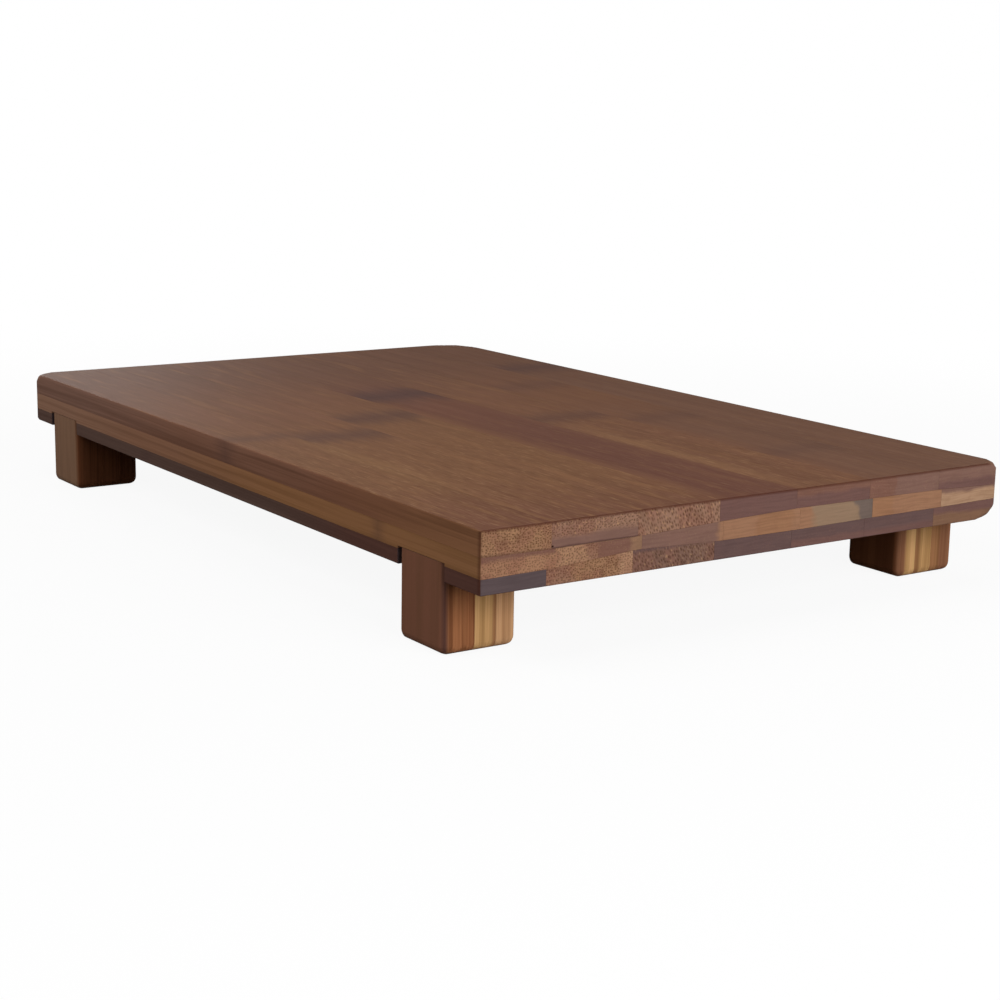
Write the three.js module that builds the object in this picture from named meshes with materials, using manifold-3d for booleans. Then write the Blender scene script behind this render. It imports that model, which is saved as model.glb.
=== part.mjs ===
// Footed serving board in dark laminated bamboo.
// Three plies of edge-glued staves make the board, and four laminated feet are housed in its underside.
// Millimetres, +Z up. X runs across the board, Y along it, and the feet stand on Z = 0 round the origin.

import * as THREE from 'three';
import { mergeVertices } from 'three/addons/utils/BufferGeometryUtils.js';
import Module from 'manifold-3d';

// Board
const BOARD_LENGTH = 320;
const TOP_PLY = 6.6;
const CORE_PLY = 5.7;
const BASE_PLY = 5.7;
const EDGE_EASE = 0.4;

// The board's near left corner is only eased, and its other three corners are round
const NEAR_LEFT_CORNER = 0.6;
const ROUND_CORNER = 3.5;

// Staves of the top ply from left to right: the outer two were narrowed when the blank was sawn to width
const STAVE_COUNT = 7;
const FIRST_STAVE = 23.2;
const STAVE_WIDTH = 29.8;
const LAST_STAVE = 27.8;
const CORE_SHIFT = 1.5;
const BASE_SHIFT = -1.6;
const GLUE_LINE = 0.2;

// How far each glue surface sags below its flat plane, at the left edge and then at each joint of the top ply
const UPPER_SAG = [0.7, 1.0, 0.9, 0.0, -0.7, -0.5, -0.3, 0.6];
const LOWER_SAG = [1.1, 0.8, -1.0, 0.0, 0.1, -0.2, -0.3, -0.7];

// Feet, each laminated from three upright strips and flush with the board's long side
const FOOT_STAND = 21.5;
const FOOT_SIDE = 24.2;
const FOOT_SETBACK = 18;
const FOOT_OUTER_STRIP = 10.4;
const FOOT_MIDDLE_STRIP = 7.1;
const FOOT_INNER_STRIP = 7.4;
const FOOT_ROUND = 2.9;
const FOOT_TOE = 2.8;

// Housings in the underside, and the dowel that pins each foot there
const HOUSING_DEPTH = 5.5;
const HOUSING_CLEARANCE = 0.3;
const DOWEL_DIAMETER = 5;
const DOWEL_IN_FOOT = 12;
const DOWEL_IN_BOARD = 7.5;
const DOWEL_CHAMFER = 0.7;
const DOWEL_CLEARANCE = 0.3;

// Fineness of the round surfaces
const EASE_STEPS = 3;
const ROUND_STEPS = 6;
const DOWEL_SIDES = 16;

// Cutting shapes run past the faces that they cut by this much
const OVERRUN = 3;

// Sizes that follow from the ones above
const BOARD_WIDTH = FIRST_STAVE + (STAVE_COUNT - 2) * STAVE_WIDTH + LAST_STAVE;
const BOARD_THICKNESS = TOP_PLY + CORE_PLY + BASE_PLY;
const BOARD_TOP = FOOT_STAND + BOARD_THICKNESS;
const HALF_WIDTH = BOARD_WIDTH / 2;
const HALF_LENGTH = BOARD_LENGTH / 2;
const HALF_GLUE = GLUE_LINE / 2;
const FOOT_DEPTH = FOOT_OUTER_STRIP + FOOT_MIDDLE_STRIP + FOOT_INNER_STRIP;
const FOOT_TOP = FOOT_STAND + HOUSING_DEPTH - HOUSING_CLEARANCE;
const FOOT_CENTRE = HALF_LENGTH - FOOT_SETBACK - FOOT_SIDE / 2;
const DOWEL_INSET = FOOT_OUTER_STRIP + FOOT_MIDDLE_STRIP / 2;
const DOWEL_BOTTOM = FOOT_STAND + HOUSING_DEPTH - DOWEL_IN_FOOT;
const DOWEL_LENGTH = DOWEL_IN_FOOT + DOWEL_IN_BOARD;

// Tones of the bamboo, from heavily to lightly carbonised, and the pale dowels
const BAMBOO_ROUGHNESS = 0.5;
const TONES = {
  smoke: '#4c3a35',
  umber: '#6d4d40',
  russet: '#7d5138',
  tan: '#a5805a',
  gold: '#a8763f',
  pale: '#d2b98c',
};
const TOP_TONES = ['russet', 'tan', 'tan', 'umber', 'umber', 'russet', 'umber'];
const CORE_TONES = ['gold', 'tan', 'umber', 'gold', 'tan', 'gold', 'tan'];
const BASE_TONES = ['smoke', 'russet', 'russet', 'smoke', 'smoke', 'smoke', 'smoke'];

// The four places of a foot: its name, its side of the board and its end of the board
const FEET = [
  { name: 'front_left', side: -1, end: -1 },
  { name: 'front_right', side: 1, end: -1 },
  { name: 'back_left', side: -1, end: 1 },
  { name: 'back_right', side: 1, end: 1 },
];

const wasm = await Module();
wasm.setup();

// A closed geometry as a solid that can be cut and joined
function solidOf(geometry) {
  const bare = geometry.clone();
  bare.deleteAttribute('normal');
  bare.deleteAttribute('uv');
  const merged = mergeVertices(bare);
  const vertProperties = new Float32Array(merged.getAttribute('position').array);
  const triVerts = new Uint32Array(merged.getIndex().array);
  return new wasm.Manifold(new wasm.Mesh({ numProp: 3, vertProperties, triVerts }));
}

function geometryOf(solid) {
  const { vertProperties, triVerts } = solid.getMesh();
  const geometry = new THREE.BufferGeometry();
  geometry.setAttribute('position', new THREE.BufferAttribute(vertProperties, 3));
  geometry.setIndex(new THREE.BufferAttribute(triVerts, 1));
  geometry.computeVertexNormals();
  return geometry;
}

function joined(solids) {
  return solids.reduce((whole, solid) => whole.add(solid));
}

function bambooMesh(name, geometry, tone) {
  const material = new THREE.MeshStandardMaterial({
    color: TONES[tone],
    roughness: BAMBOO_ROUGHNESS,
    metalness: 0,
  });
  material.name = `bamboo_${tone}`;
  const mesh = new THREE.Mesh(geometry, material);
  mesh.name = name;
  return mesh;
}

// A box between two corners
function block(low, high) {
  const size = new THREE.Vector3().subVectors(high, low);
  const centre = new THREE.Vector3().addVectors(low, high).multiplyScalar(0.5);
  return new THREE.BoxGeometry(size.x, size.y, size.z).translate(centre.x, centre.y, centre.z);
}

// An upright block with round top and bottom edges, from z = 0 up, centred on the Z axis
// The radii of its four corners go round from the +X +Y corner, against the clock
function roundedBlock(width, length, height, corners, edge, edgeSteps) {
  const outline = new THREE.Shape();
  corners.forEach((radius, index) => {
    const start = (index * Math.PI) / 2;
    const across = index === 0 || index === corners.length - 1 ? 1 : -1;
    const along = index < 2 ? 1 : -1;
    const x = across * (width / 2 - radius);
    const y = along * (length / 2 - radius);
    outline.absarc(x, y, radius, start, start + Math.PI / 2);
  });
  outline.closePath();
  const geometry = new THREE.ExtrudeGeometry(outline, {
    depth: height - 2 * edge,
    curveSegments: ROUND_STEPS,
    bevelThickness: edge,
    bevelSize: edge,
    bevelOffset: -edge,
    bevelSegments: edgeSteps,
  });
  return geometry.translate(0, 0, edge);
}

// Board blank: the outside of the whole glued-up board, with its sanded edges
function boardBlank() {
  const corners = [ROUND_CORNER, ROUND_CORNER, NEAR_LEFT_CORNER, ROUND_CORNER];
  const blank = roundedBlock(BOARD_WIDTH, BOARD_LENGTH, BOARD_THICKNESS, corners, EDGE_EASE, EASE_STEPS);
  return solidOf(blank.translate(0, 0, FOOT_STAND));
}

// Housings: where each foot is let into the underside of the board
function housing({ side, end }) {
  const inner = side * (HALF_WIDTH - FOOT_DEPTH - HOUSING_CLEARANCE);
  const outer = side * (HALF_WIDTH + OVERRUN);
  const halfSlot = FOOT_SIDE / 2 + HOUSING_CLEARANCE;
  const centre = end * FOOT_CENTRE;
  const low = new THREE.Vector3(Math.min(inner, outer), centre - halfSlot, FOOT_STAND - OVERRUN);
  const high = new THREE.Vector3(Math.max(inner, outer), centre + halfSlot, FOOT_STAND + HOUSING_DEPTH);
  return solidOf(block(low, high));
}

// Dowels and the bores that take them
function dowelProfile(radius, length, chamfer) {
  return [
    new THREE.Vector2(0, 0),
    new THREE.Vector2(radius - chamfer, 0),
    new THREE.Vector2(radius, chamfer),
    new THREE.Vector2(radius, length - chamfer),
    new THREE.Vector2(radius - chamfer, length),
    new THREE.Vector2(0, length),
  ];
}

function dowel() {
  const profile = dowelProfile(DOWEL_DIAMETER / 2, DOWEL_LENGTH, DOWEL_CHAMFER);
  const pin = new THREE.LatheGeometry(profile, DOWEL_SIDES).rotateX(Math.PI / 2);
  return pin.translate(DOWEL_INSET, 0, DOWEL_BOTTOM);
}

function bore(x, y) {
  const radius = DOWEL_DIAMETER / 2 + DOWEL_CLEARANCE;
  const length = DOWEL_LENGTH + 2 * DOWEL_CLEARANCE;
  const hole = new THREE.CylinderGeometry(radius, radius, length, DOWEL_SIDES).rotateX(Math.PI / 2);
  return solidOf(hole.translate(x, y, DOWEL_BOTTOM - DOWEL_CLEARANCE + length / 2));
}

function boardBore({ side, end }) {
  return bore(side * (HALF_WIDTH - DOWEL_INSET), end * FOOT_CENTRE);
}

// Glue surfaces between the plies, as heights at a distance across from the left edge
const sagStations = UPPER_SAG.map((sag, index) => (index === 0 ? 0 : FIRST_STAVE + (index - 1) * STAVE_WIDTH));

function sagAt(sags, across) {
  const next = sagStations.findIndex((station) => station > across);
  if (next === 0) {
    return sags[0];
  }
  if (next < 0) {
    return sags[sags.length - 1];
  }
  const share = (across - sagStations[next - 1]) / (sagStations[next] - sagStations[next - 1]);
  return THREE.MathUtils.lerp(sags[next - 1], sags[next], share);
}

const upperGlue = (across) => BOARD_TOP - TOP_PLY - sagAt(UPPER_SAG, across);
const lowerGlue = (across) => FOOT_STAND + BASE_PLY - sagAt(LOWER_SAG, across);
const aboveBoard = () => BOARD_TOP + OVERRUN;
const belowBoard = () => FOOT_STAND - OVERRUN;

const PLIES = [
  { name: 'top', shift: 0, over: aboveBoard, under: upperGlue, tones: TOP_TONES },
  { name: 'core', shift: CORE_SHIFT, over: upperGlue, under: lowerGlue, tones: CORE_TONES },
  { name: 'base', shift: BASE_SHIFT, over: lowerGlue, under: belowBoard, tones: BASE_TONES },
];

// Joints between the staves of a ply, as distances across from the left edge
function jointsOf(ply) {
  const first = FIRST_STAVE + ply.shift;
  return Array.from({ length: STAVE_COUNT - 1 }, (_, index) => first + index * STAVE_WIDTH);
}

// Section of a stave: straight joints at its sides, and the bent glue surfaces above and below it
function staveSection(ply, left, right) {
  const isGlue = (surface) => surface === upperGlue || surface === lowerGlue;
  const inside = sagStations.filter((station) => station > left && station < right);
  const line = (surface, offset) => {
    const stops = isGlue(surface) ? [left, ...inside, right] : [left, right];
    return stops.map((across) => new THREE.Vector2(across - HALF_WIDTH, surface(across) + offset));
  };
  const underside = line(ply.under, HALF_GLUE);
  const upside = line(ply.over, -HALF_GLUE).reverse();
  return new THREE.Shape([...underside, ...upside]);
}

function staveLength(section, from, to) {
  const geometry = new THREE.ExtrudeGeometry(section, { depth: to - from, bevelEnabled: false });
  return geometry.rotateX(Math.PI / 2).translate(0, to, 0);
}

// Stretches of a stave along the board: its name's ending, and where it starts and stops
const WHOLE_STAVE = [{ ending: '', from: -HALF_LENGTH - OVERRUN, to: HALF_LENGTH + OVERRUN }];

// The base ply's left stave is narrower than the feet, so the two housings part it into three
const PARTED_STAVE = [
  { ending: '_front', from: -HALF_LENGTH - OVERRUN, to: -FOOT_CENTRE - HALF_GLUE },
  { ending: '_middle', from: -FOOT_CENTRE + HALF_GLUE, to: FOOT_CENTRE - HALF_GLUE },
  { ending: '_back', from: FOOT_CENTRE + HALF_GLUE, to: HALF_LENGTH + OVERRUN },
];

// The board: every stave of every ply, cut from the blank, with the housings and bores taken out
function boardStaves() {
  const blank = boardBlank();
  const cuts = joined([...FEET.map(housing), ...FEET.map(boardBore)]);
  const meshes = [];
  for (const ply of PLIES) {
    const joints = jointsOf(ply);
    const lefts = [-OVERRUN, ...joints.map((joint) => joint + HALF_GLUE)];
    const rights = [...joints.map((joint) => joint - HALF_GLUE), BOARD_WIDTH + OVERRUN];
    lefts.forEach((left, index) => {
      const section = staveSection(ply, left, rights[index]);
      const tone = ply.tones[index % ply.tones.length];
      const stretches = ply.name === 'base' && index === 0 ? PARTED_STAVE : WHOLE_STAVE;
      for (const { ending, from, to } of stretches) {
        const solid = solidOf(staveLength(section, from, to)).intersect(blank).subtract(cuts);
        meshes.push(bambooMesh(`${ply.name}_stave_${index + 1}${ending}`, geometryOf(solid), tone));
      }
    });
  }
  return meshes;
}

// Feet: a rounded block sawn into its three strips, from the outer face at x = 0 inwards
const FOOT_STRIPS = [
  { name: 'outer', width: FOOT_OUTER_STRIP, tone: 'russet' },
  { name: 'middle', width: FOOT_MIDDLE_STRIP, tone: 'gold' },
  { name: 'inner', width: FOOT_INNER_STRIP, tone: 'tan' },
];

function footStrips() {
  const height = FOOT_TOP + FOOT_TOE;
  const corners = [FOOT_ROUND, FOOT_ROUND, FOOT_ROUND, FOOT_ROUND];
  const blank = roundedBlock(FOOT_DEPTH, FOOT_SIDE, height, corners, FOOT_TOE, ROUND_STEPS);
  const foot = solidOf(blank.translate(FOOT_DEPTH / 2, 0, 0)).subtract(bore(DOWEL_INSET, 0));
  const last = FOOT_STRIPS.length - 1;
  let joint = 0;
  return FOOT_STRIPS.map(({ name, width, tone }, index) => {
    const start = index === 0 ? -OVERRUN : joint + HALF_GLUE;
    joint += width;
    const stop = index === last ? FOOT_DEPTH + OVERRUN : joint - HALF_GLUE;
    const low = new THREE.Vector3(start, -FOOT_SIDE, -OVERRUN);
    const high = new THREE.Vector3(stop, FOOT_SIDE, FOOT_TOP);
    return { name, tone, geometry: geometryOf(foot.intersect(solidOf(block(low, high)))) };
  });
}

// A foot with its dowel, turned round on the right so that its outer strip is flush there too
function footAt({ name, side, end }, strips, pin) {
  const foot = new THREE.Group();
  foot.position.set(side * HALF_WIDTH, end * FOOT_CENTRE, 0);
  foot.rotation.z = side < 0 ? 0 : Math.PI;
  for (const strip of strips) {
    foot.add(bambooMesh(`foot_${name}_${strip.name}`, strip.geometry, strip.tone));
  }
  foot.add(bambooMesh(`dowel_${name}`, pin, 'pale'));
  return foot;
}

function servingBoard() {
  const strips = footStrips();
  const pin = dowel();
  const board = new THREE.Group();
  board.add(...boardStaves());
  board.add(...FEET.map((place) => footAt(place, strips, pin)));
  return board;
}

export default servingBoard();
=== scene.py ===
import math
from collections import namedtuple

import bmesh
import bpy
from mathutils import Matrix, Vector


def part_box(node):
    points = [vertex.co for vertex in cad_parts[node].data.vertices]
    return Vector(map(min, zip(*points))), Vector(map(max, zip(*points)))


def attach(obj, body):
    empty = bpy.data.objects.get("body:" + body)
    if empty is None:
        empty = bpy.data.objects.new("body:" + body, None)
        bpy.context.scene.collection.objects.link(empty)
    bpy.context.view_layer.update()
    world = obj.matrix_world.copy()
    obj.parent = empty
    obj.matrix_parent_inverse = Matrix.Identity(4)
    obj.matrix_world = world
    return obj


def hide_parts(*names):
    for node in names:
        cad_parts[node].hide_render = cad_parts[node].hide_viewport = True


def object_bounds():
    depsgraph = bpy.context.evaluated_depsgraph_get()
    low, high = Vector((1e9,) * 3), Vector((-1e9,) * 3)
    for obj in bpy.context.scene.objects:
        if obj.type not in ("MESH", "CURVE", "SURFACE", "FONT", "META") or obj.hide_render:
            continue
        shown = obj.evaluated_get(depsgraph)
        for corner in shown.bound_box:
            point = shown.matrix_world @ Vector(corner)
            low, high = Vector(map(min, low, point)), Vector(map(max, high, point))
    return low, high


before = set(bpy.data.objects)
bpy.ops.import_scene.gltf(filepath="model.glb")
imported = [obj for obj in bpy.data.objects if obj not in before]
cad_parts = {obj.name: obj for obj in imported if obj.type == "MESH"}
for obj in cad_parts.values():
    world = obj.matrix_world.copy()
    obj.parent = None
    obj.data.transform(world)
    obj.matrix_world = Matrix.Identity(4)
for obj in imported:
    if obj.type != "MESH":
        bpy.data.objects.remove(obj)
cad_low, cad_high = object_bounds()

# Sizes in metres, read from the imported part
MM = 0.001
HALF_WIDTH = cad_high[0]
HALF_LENGTH = cad_high[1]
SERVING_FACE = cad_high[2]
LEFT_SIDE = cad_low[0]
NEAR_END = cad_low[1]
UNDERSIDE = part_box("base_stave_4")[0][2]

# A glue joint is left as a hairline: each side of it grows by this much
JOINT_CLOSING = 0.075 * MM

# Faces this close to the board's outside belong to its skin and stay where they are
SKIN = 0.4 * MM

# Points closer together than this are one
SAME_POINT = 0.001 * MM

# Most patterns lie about this value
MIDDLE = 0.5
WHITE = (1.0, 1.0, 1.0, 1.0)

# Numbers of the sockets of a colour mix, because their names aren't unique
MIX_AMOUNT = 0
MIX_FIRST = 6
MIX_SECOND = 7
MIX_RESULT = 2


def colour(hexadecimal):
    """Turns a written colour such as #7d5138 into the linear values that a socket holds."""
    straight_up_to = 0.04045
    straight_slope = 12.92
    offset = 0.055
    power = 2.4
    values = []
    for start in (1, 3, 5):
        level = int(hexadecimal[start:start + 2], 16) / 255
        curved = ((level + offset) / (1 + offset)) ** power
        values.append(level / straight_slope if level <= straight_up_to else curved)
    return (*values, 1.0)


def put(tree, kind, inputs=None, **settings):
    """Adds one node, sets its properties, and gives each named or numbered input a value or a link."""
    node = tree.nodes.new(kind)
    for name, value in settings.items():
        setattr(node, name, value)
    for key, value in (inputs or {}).items():
        if isinstance(value, bpy.types.NodeSocket):
            tree.links.new(value, node.inputs[key])
        else:
            node.inputs[key].default_value = value
    return node


def maths(tree, operation, first, second=0.0, third=0.0):
    values = {0: first, 1: second, 2: third}
    return put(tree, "ShaderNodeMath", values, operation=operation).outputs[0]


def product(tree, first, *others):
    for other in others:
        first = maths(tree, "MULTIPLY", first, other)
    return first


def carried(tree, value, pattern, reach):
    """A value carried to and fro by a pattern."""
    return maths(tree, "MULTIPLY_ADD", maths(tree, "SUBTRACT", pattern, MIDDLE), reach, value)


def vector_maths(tree, operation, first, second=(0.0, 0.0, 0.0)):
    return put(tree, "ShaderNodeVectorMath", {0: first, 1: second}, operation=operation).outputs[0]


def length_of(tree, vector):
    return put(tree, "ShaderNodeVectorMath", {0: vector}, operation="LENGTH").outputs["Value"]


def parts_of(tree, vector):
    return put(tree, "ShaderNodeSeparateXYZ", {0: vector}).outputs


def ease(tree, value, start, end, low=0.0, high=1.0):
    """A smooth step from low at start to high at end."""
    values = {"Value": value, "From Min": start, "From Max": end, "To Min": low, "To Max": high}
    return put(tree, "ShaderNodeMapRange", values, interpolation_type="SMOOTHSTEP").outputs[0]


def blend(tree, amount, first, second):
    """The first colour, turning into the second as the amount goes from 0 to 1."""
    values = {MIX_AMOUNT: amount, MIX_FIRST: first, MIX_SECOND: second}
    return put(tree, "ShaderNodeMix", values, data_type="RGBA", clamp_factor=True).outputs[MIX_RESULT]


def noise(tree, place, pattern):
    """Soft noise in one of the patterns below."""
    scaled = vector_maths(tree, "MULTIPLY", place, pattern.pitch)
    values = {"Vector": scaled, "Scale": 1.0, "Detail": pattern.detail, "Roughness": pattern.roughness}
    return put(tree, "ShaderNodeTexNoise", values)


def group(tree, shared, given):
    """The outputs of one of the shared effects."""
    return put(tree, "ShaderNodeGroup", given, node_tree=shared).outputs


def sockets(tree, direction, names):
    for name, kind in names:
        tree.interface.new_socket(name, in_out=direction, socket_type="NodeSocket" + kind)


# Patterns in the bamboo: waves to the mm along each axis, with the fibres along Y, and how fine and rough
# the noise is
Pattern = namedtuple("Pattern", "pitch detail roughness", defaults=(0.5,))
PATTERNS = {
    "Fibre": Pattern((2.6, 0.05, 2.6), 3.0, 0.6),
    "Flow": Pattern((0.17, 0.005, 0.17), 2.0),
    "Mottle": Pattern((0.3, 0.03, 0.3), 2.0),
    "Layers": Pattern((0.09, 0.02, 1.6), 2.0),
    "Bands": Pattern((0.5, 0.006, 0.5), 2.0),
}
FLECKS = Pattern((1.9, 0.15, 1.9), 1.0)
WANDER = Pattern((0.07, 0.012, 0.07), 1.0)
KNUCKLE_BEND = Pattern((0.12, 0.0, 0.12), 2.0)
KNUCKLE_STREAKS = Pattern((0.5, 0.045, 0.5), 3.0)

# Fibre bundles: how far they wander and their spacing, both in mm, how flat and how scattered they are,
# the edge of their dots as a share of the spacing, and the strength of the faintest ones. Then where
# flecks and pores fade in.
WANDER_REACH = (2.0, 0.0, 2.0)
BUNDLE_SPACING = 0.8
BUNDLE_FLATNESS = 0.86
BUNDLE_SCATTER = 0.8
DOT_EDGE = (0.1, 0.52)
FAINTEST_DOT = 0.5
FLECK_STEP = (0.56, 0.74)
PORE_STEP = (0.27, 0.44)

# Knuckles: how far they wave and how thick their line is, in mm, and how their smudge breaks up into streaks
KNUCKLE_WAVE = 9.0
KNUCKLE_LINE = (0.15, 1.1)
KNUCKLE_PATCHES = (0.3, 0.62, 0.6, 1.0)

# How much further the painted edge shade reaches along the sides from the upright corners than across the
# arris
CORNER_REACH = 2.2


def make_fibres():
    """Fibre bundles, which are dots on end grain and streaks on the other faces, and the softer patterns."""
    tree = bpy.data.node_groups.new("bamboo_fibres", "ShaderNodeTree")
    sockets(tree, "INPUT", [("Grain", "Vector"), ("Spacing", "Float")])
    sockets(tree, "OUTPUT", [(name, "Float") for name in ("Bundle", *PATTERNS, "Fleck", "Pore")])
    given = put(tree, "NodeGroupInput").outputs
    wander = noise(tree, given["Grain"], WANDER).outputs["Color"]
    wander = vector_maths(tree, "SUBTRACT", wander, (MIDDLE, MIDDLE, MIDDLE))
    wander = vector_maths(tree, "MULTIPLY", wander, WANDER_REACH)
    grain = vector_maths(tree, "ADD", given["Grain"], wander)
    axes = parts_of(tree, grain)
    height = maths(tree, "DIVIDE", axes[2], BUNDLE_FLATNESS)
    section = put(tree, "ShaderNodeCombineXYZ", {0: axes[0], 1: height}).outputs[0]
    spacing = put(tree, "ShaderNodeCombineXYZ", {0: given["Spacing"], 1: given["Spacing"], 2: 1.0}).outputs[0]
    cells = vector_maths(tree, "DIVIDE", section, spacing)
    scatter = {"Vector": cells, "Scale": 1.0, "Randomness": BUNDLE_SCATTER}
    voronoi = put(tree, "ShaderNodeTexVoronoi", scatter, voronoi_dimensions="2D").outputs
    dot = ease(tree, voronoi["Distance"], *DOT_EDGE, 1.0, 0.0)
    chance = put(tree, "ShaderNodeSeparateColor", {0: voronoi["Color"]}).outputs[0]
    strength = maths(tree, "MULTIPLY_ADD", chance, 1 - FAINTEST_DOT, FAINTEST_DOT)
    flecks = noise(tree, grain, FLECKS).outputs[0]
    made = put(tree, "NodeGroupOutput").inputs
    tree.links.new(product(tree, dot, strength), made["Bundle"])
    for name, pattern in PATTERNS.items():
        tree.links.new(noise(tree, grain, pattern).outputs[0], made[name])
    tree.links.new(ease(tree, flecks, *FLECK_STEP), made["Fleck"])
    tree.links.new(ease(tree, flecks, *PORE_STEP, 1.0, 0.0), made["Pore"])
    return tree


def make_knuckle():
    """The joint of a bamboo cane: a soft dark smudge across the fibres with a fine wavy line in it."""
    tree = bpy.data.node_groups.new("bamboo_knuckle", "ShaderNodeTree")
    sockets(tree, "INPUT", [("Grain", "Vector"), ("Place", "Float"), ("Spread", "Float")])
    sockets(tree, "OUTPUT", [("Smudge", "Float"), ("Line", "Float")])
    given = put(tree, "NodeGroupInput").outputs
    bend = noise(tree, given["Grain"], KNUCKLE_BEND).outputs[0]
    away = maths(tree, "SUBTRACT", parts_of(tree, given["Grain"])[1], given["Place"])
    distance = maths(tree, "ABSOLUTE", carried(tree, away, bend, KNUCKLE_WAVE))
    streaks = noise(tree, given["Grain"], KNUCKLE_STREAKS).outputs[0]
    patchy = ease(tree, streaks, *KNUCKLE_PATCHES)
    reach = product(tree, given["Spread"], patchy)
    smudge = ease(tree, maths(tree, "DIVIDE", distance, reach), 0.0, 1.0, 1.0, 0.0)
    line = ease(tree, distance, *KNUCKLE_LINE, 1.0, 0.0)
    made = put(tree, "NodeGroupOutput").inputs
    tree.links.new(smudge, made["Smudge"])
    tree.links.new(product(tree, line, patchy), made["Line"])
    return tree


def make_arris():
    """Masks of the board's upper arris at each end and of its upright corners, where shade is painted."""
    tree = bpy.data.node_groups.new("painted_edge_shade", "ShaderNodeTree")
    sockets(tree, "INPUT", [("Place", "Vector"), ("Reach", "Float")])
    sockets(tree, "OUTPUT", [("Arris", "Float"), ("Corner", "Float")])
    given = put(tree, "NodeGroupInput").outputs
    axes = parts_of(tree, vector_maths(tree, "ABSOLUTE", given["Place"]))
    reach = given["Reach"]
    corner_reach = product(tree, reach, CORNER_REACH)

    def near(axis, limit, distance):
        return ease(tree, axes[axis], maths(tree, "SUBTRACT", limit, distance), limit)

    made = put(tree, "NodeGroupOutput").inputs
    arris = product(tree, near(1, HALF_LENGTH, reach), near(2, SERVING_FACE, reach))
    corner = product(tree, near(0, HALF_WIDTH, reach), near(1, HALF_LENGTH, corner_reach))
    tree.links.new(arris, made["Arris"])
    tree.links.new(corner, made["Corner"])
    return tree


FIBRES = make_fibres()
KNUCKLE = make_knuckle()
ARRIS = make_arris()

# Bamboo tones: the ground between the fibre bundles, and the bundles
TONES = {
    "toffee": ("#7f5843", "#714e3a"),
    "caramel": ("#845d43", "#75523a"),
    "chestnut": ("#775040", "#6a4637"),
    "cocoa": ("#795745", "#6c4d3e"),
    "russet": ("#906347", "#764e39"),
    "umber": ("#604138", "#553932"),
    "amber": ("#996c4a", "#89603f"),
    "honey": ("#c89d6c", "#a67e51"),
    "oat": ("#cb9e74", "#aa7e59"),
    "brick": ("#805236", "#663e28"),
    "tan": ("#987256", "#593a2a"),
    "biscuit": ("#93705d", "#593d2f"),
    "mauve": ("#7e5f54", "#6f5349"),
    "plum": ("#6f524c", "#644944"),
    "rosewood": ("#7c594c", "#6b4b40"),
    "slate": ("#644e4b", "#594543"),
    "gold": ("#997157", "#84604a"),
    "straw": ("#a9876c", "#8b6b53"),
    "sage": ("#907660", "#826b56"),
    "ash": ("#6f6058", "#64564f"),
    "ember": ("#976e52", "#805b44"),
    "cinnamon": ("#8f6a56", "#5b3a2e"),
    "rust": ("#7a5d50", "#4b3127"),
    "walnut": ("#745241", "#674839"),
    "flax": ("#ad876a", "#6f503c"),
    "copper": ("#a26c48", "#7e4e32"),
    "lead": ("#5d4f50", "#524546"),
    "barley": ("#a17a5f", "#674a38"),
    "fig": ("#7e5e4a", "#705342"),
    "ochre": ("#956849", "#80583d"),
    "auburn": ("#855a44", "#734c39"),
    "almond": ("#8a624f", "#775342"),
    "dust": ("#8e6a5a", "#7b5b4d"),
    "hazel": ("#966c54", "#855f49"),
    "dove": ("#99735d", "#886551"),
    "bark": ("#634c43", "#58433b"),
    "fawn": ("#8d6b54", "#7c5e4a"),
    "wheat": ("#a0775c", "#654534"),
    "sienna": ("#835744", "#76503c"),
    "maroon": ("#704b3d", "#644136"),
    # Painted shade: a dark brown for faces of the feet that stand in shadow under the board
    "painted_shade_brown": ("#774a30", "#603824"),
}

# Colours of the marks that all strips share
BAND_COLOUR = colour("#3a1c10")
PATCH_COLOUR = colour("#946a4b")
PORE_COLOUR = colour("#5c3b2c")
FLECK_COLOUR = colour("#b08964")
ROSY_COLOUR = colour("#86584a")
PALE_COLOUR = colour("#bd9468")
GLUE_COLOUR = colour("#4a332e")
SMUDGE_COLOUR = colour("#523c38")
LINE_COLOUR = colour("#3b2826")
# Painted shade inside the glue void
VOID_SHADE_COLOUR = colour("#33201a")
# Painted shade along the upper arrises and down the upright corners
EDGE_SHADE_COLOUR = colour("#4c2a20")

# Where one tone follows another: the share of the strip at which it starts, the tone, and how strong
# its dots are
Zone = namedtuple("Zone", "start tone dots", defaults=(0.0,))

# A knuckle's distance from the near end, how dark it is, and how far it spreads, in mm
Knuckle = namedtuple("Knuckle", "place strength spread")

# A streak on the serving face: its distance from the left side, its width, and where it starts and stops
# from the near end, all in mm, then its tone and its strength
Streak = namedtuple("Streak", "across width start stop tone strength")

# One strip of bamboo: the zones of its long faces and of its end grain, the axis that each follows, and
# the slant of those on the end. Then the strength of bands on its sawn sides and of patches on its upper
# face, other zones for the sawn sides, its knuckles, streaks and glue void, the lean in degrees of the
# strokes that its dots are drawn out into, and the strength of the glue line below its end.
Strip = namedtuple(
    "Strip", "face end face_axis end_axis slant bands patches side knuckles streaks pit lean glue",
    defaults=("Y", "X", 0.0, 0.3, 0.4, (), (), (), None, None, 0.0))

# A glue void on the near end, painted as a dark spot of shade, where the first two top staves meet the core:
# mm from the left side and the top
PIT = (23.5, 6.9)

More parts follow.
